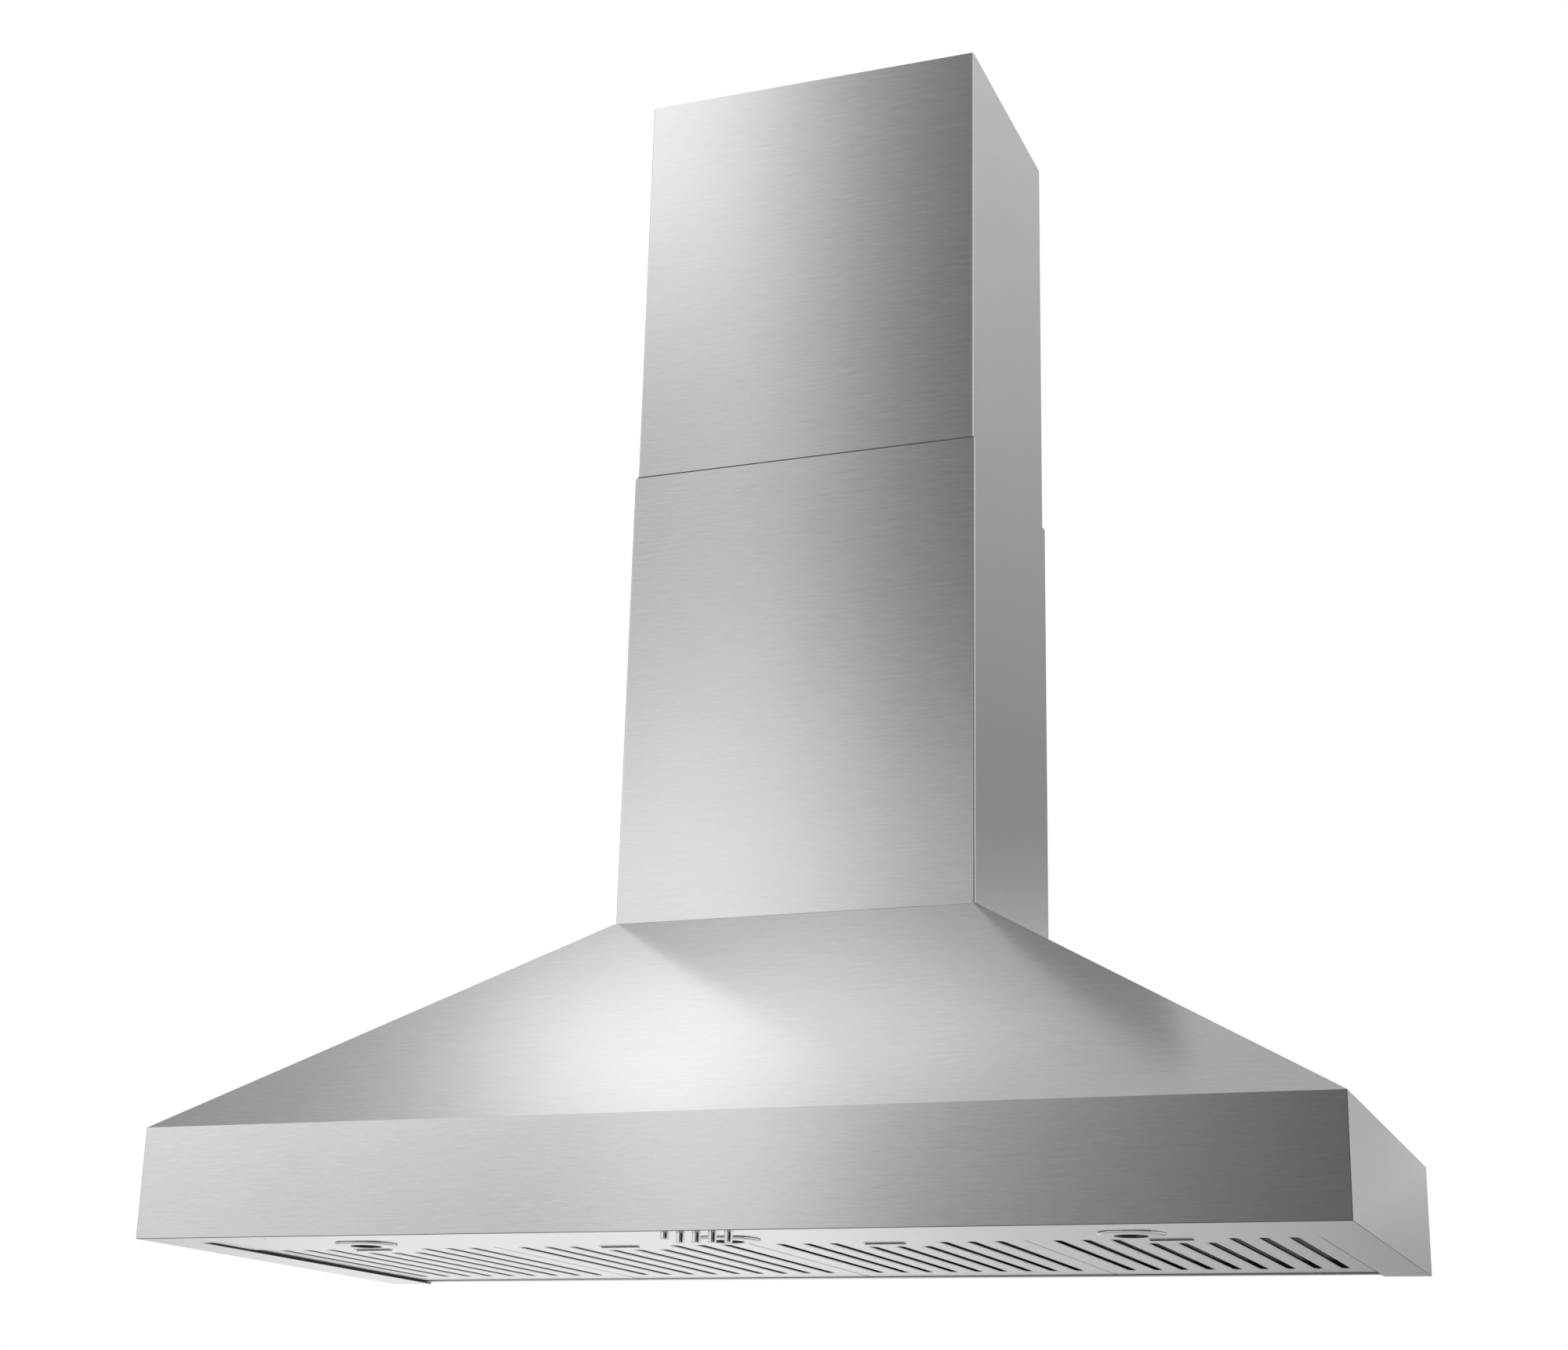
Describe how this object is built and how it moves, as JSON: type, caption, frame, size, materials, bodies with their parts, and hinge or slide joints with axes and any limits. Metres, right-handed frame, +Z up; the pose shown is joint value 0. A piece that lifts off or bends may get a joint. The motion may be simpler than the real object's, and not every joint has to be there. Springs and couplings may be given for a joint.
{
  "type": "range hood",
  "caption": "Wall chimney range hood: flared stainless canopy, baffle filters, lamps, push buttons, inner blower with damper collar and telescoping duct cover.",
  "frame": {"origin": "middle of the wall rail's rear face, on the wall plane, 262 mm above the canopy's underside", "axes": "+X to the right as seen from the front, +Y into the wall (the front faces -Y), +Z up"},
  "size_m": [1.2192, 0.5414, 1.3709],
  "materials": {
    "stainless": "brushed stainless, horizontal grain",
    "satin_steel": "satin stainless",
    "chrome": "polished",
    "galvanised": "zinc coated sheet",
    "aluminium": "mill finish",
    "enamel": "black enamel",
    "black_plastic": "moulded, matte",
    "rubber": "moulded",
    "glass": "frosted lamp glass"
  },
  "bodies": {
    "hood": {"canopy_front": "stainless", "canopy_left": "stainless", "canopy_right": "stainless", "lower_chimney_cover": "stainless", "light_panel": "satin_steel", "rear_rail": "satin_steel", "lamp_bezel_1": "chrome", "lamp_bezel_2": "chrome", "lamp_bezel_3": "chrome", "damper_pin": "chrome", "back_panel": "galvanised", "top_plate": "galvanised", "chimney_bracket": "galvanised", "wall_rail": "galvanised", "hook_left": "galvanised", "hook_right": "galvanised", "blower_housing": "galvanised", "inlet_ring": "galvanised", "motor_bracket": "galvanised", "duct_collar": "galvanised", "junction_box": "galvanised", "junction_box_lid": "galvanised", "wall_screw_1": "galvanised", "wall_screw_2": "galvanised", "wall_screw_3": "galvanised", "wall_screw_4": "galvanised", "lamp_can_1": "aluminium", "lamp_can_2": "aluminium", "lamp_can_3": "aluminium", "capacitor": "aluminium", "motor": "enamel", "switch_block": "black_plastic", "cable_grommet": "rubber", "lamp_lens_1": "glass", "lamp_lens_2": "glass", "lamp_lens_3": "glass"},
    "upper_cover": {"upper_chimney_cover": "stainless"},
    "fan": {"impeller": "aluminium", "motor_shaft": "chrome"},
    "damper_front": {"damper_flap_front": "aluminium"},
    "damper_rear": {"damper_flap_rear": "aluminium"},
    "filter_1": {"filter_1_tray": "satin_steel", "filter_1_baffles": "satin_steel", "filter_1_pull": "stainless"},
    "filter_2": {"filter_2_tray": "satin_steel", "filter_2_baffles": "satin_steel", "filter_2_pull": "stainless"},
    "filter_3": {"filter_3_tray": "satin_steel", "filter_3_baffles": "satin_steel", "filter_3_pull": "stainless"},
    "filter_4": {"filter_4_tray": "satin_steel", "filter_4_baffles": "satin_steel", "filter_4_pull": "stainless"},
    "button_1": {"button_1": "chrome"},
    "button_2": {"button_2": "chrome"},
    "button_3": {"button_3": "chrome"},
    "button_4": {"button_4": "chrome"},
    "button_5": {"button_5": "chrome"}
  },
  "joints": [
    {"name": "upper_cover_slide", "type": "slide", "parent": "hood", "child": "upper_cover", "axis": [0, 0, 1], "range_m": [-0.45, 0.03]},
    {"name": "filter_1_drop", "type": "hinge", "parent": "hood", "child": "filter_1", "pos_m": [-0.42045, -0.0194, -0.2596], "axis": [1, 0, 0], "range_deg": [0, 60]},
    {"name": "filter_2_drop", "type": "hinge", "parent": "hood", "child": "filter_2", "pos_m": [-0.14015, -0.0194, -0.2596], "axis": [1, 0, 0], "range_deg": [0, 60]},
    {"name": "filter_3_drop", "type": "hinge", "parent": "hood", "child": "filter_3", "pos_m": [0.14015, -0.0194, -0.2596], "axis": [1, 0, 0], "range_deg": [0, 60]},
    {"name": "filter_4_drop", "type": "hinge", "parent": "hood", "child": "filter_4", "pos_m": [0.42045, -0.0194, -0.2596], "axis": [1, 0, 0], "range_deg": [0, 60]},
    {"name": "button_1_press", "type": "slide", "parent": "hood", "child": "button_1", "axis": [0, 0, 1], "range_m": [-0.0037, 0]},
    {"name": "button_2_press", "type": "slide", "parent": "hood", "child": "button_2", "axis": [0, 0, 1], "range_m": [0, 0.0037], "stiffness_N_per_m": 250, "springref_m": -0.004},
    {"name": "button_3_press", "type": "slide", "parent": "hood", "child": "button_3", "axis": [0, 0, 1], "range_m": [0, 0.0037], "stiffness_N_per_m": 250, "springref_m": -0.004},
    {"name": "button_4_press", "type": "slide", "parent": "hood", "child": "button_4", "axis": [0, 0, 1], "range_m": [0, 0.0037], "stiffness_N_per_m": 250, "springref_m": -0.004},
    {"name": "button_5_press", "type": "slide", "parent": "hood", "child": "button_5", "axis": [0, 0, 1], "range_m": [0, 0.0037], "stiffness_N_per_m": 250, "springref_m": -0.004},
    {"name": "fan_spin", "type": "hinge", "parent": "hood", "child": "fan", "pos_m": [0, -0.1955, -0.097], "axis": [1, 0, 0], "continuous": true},
    {"name": "damper_front_swing", "type": "hinge", "parent": "hood", "child": "damper_front", "pos_m": [0, -0.15, 0.1175], "axis": [-1, 0, 0], "range_deg": [0, 75]},
    {"name": "damper_rear_swing", "type": "hinge", "parent": "hood", "child": "damper_rear", "pos_m": [0, -0.15, 0.1175], "axis": [1, 0, 0], "range_deg": [0, 75]}
  ]
}
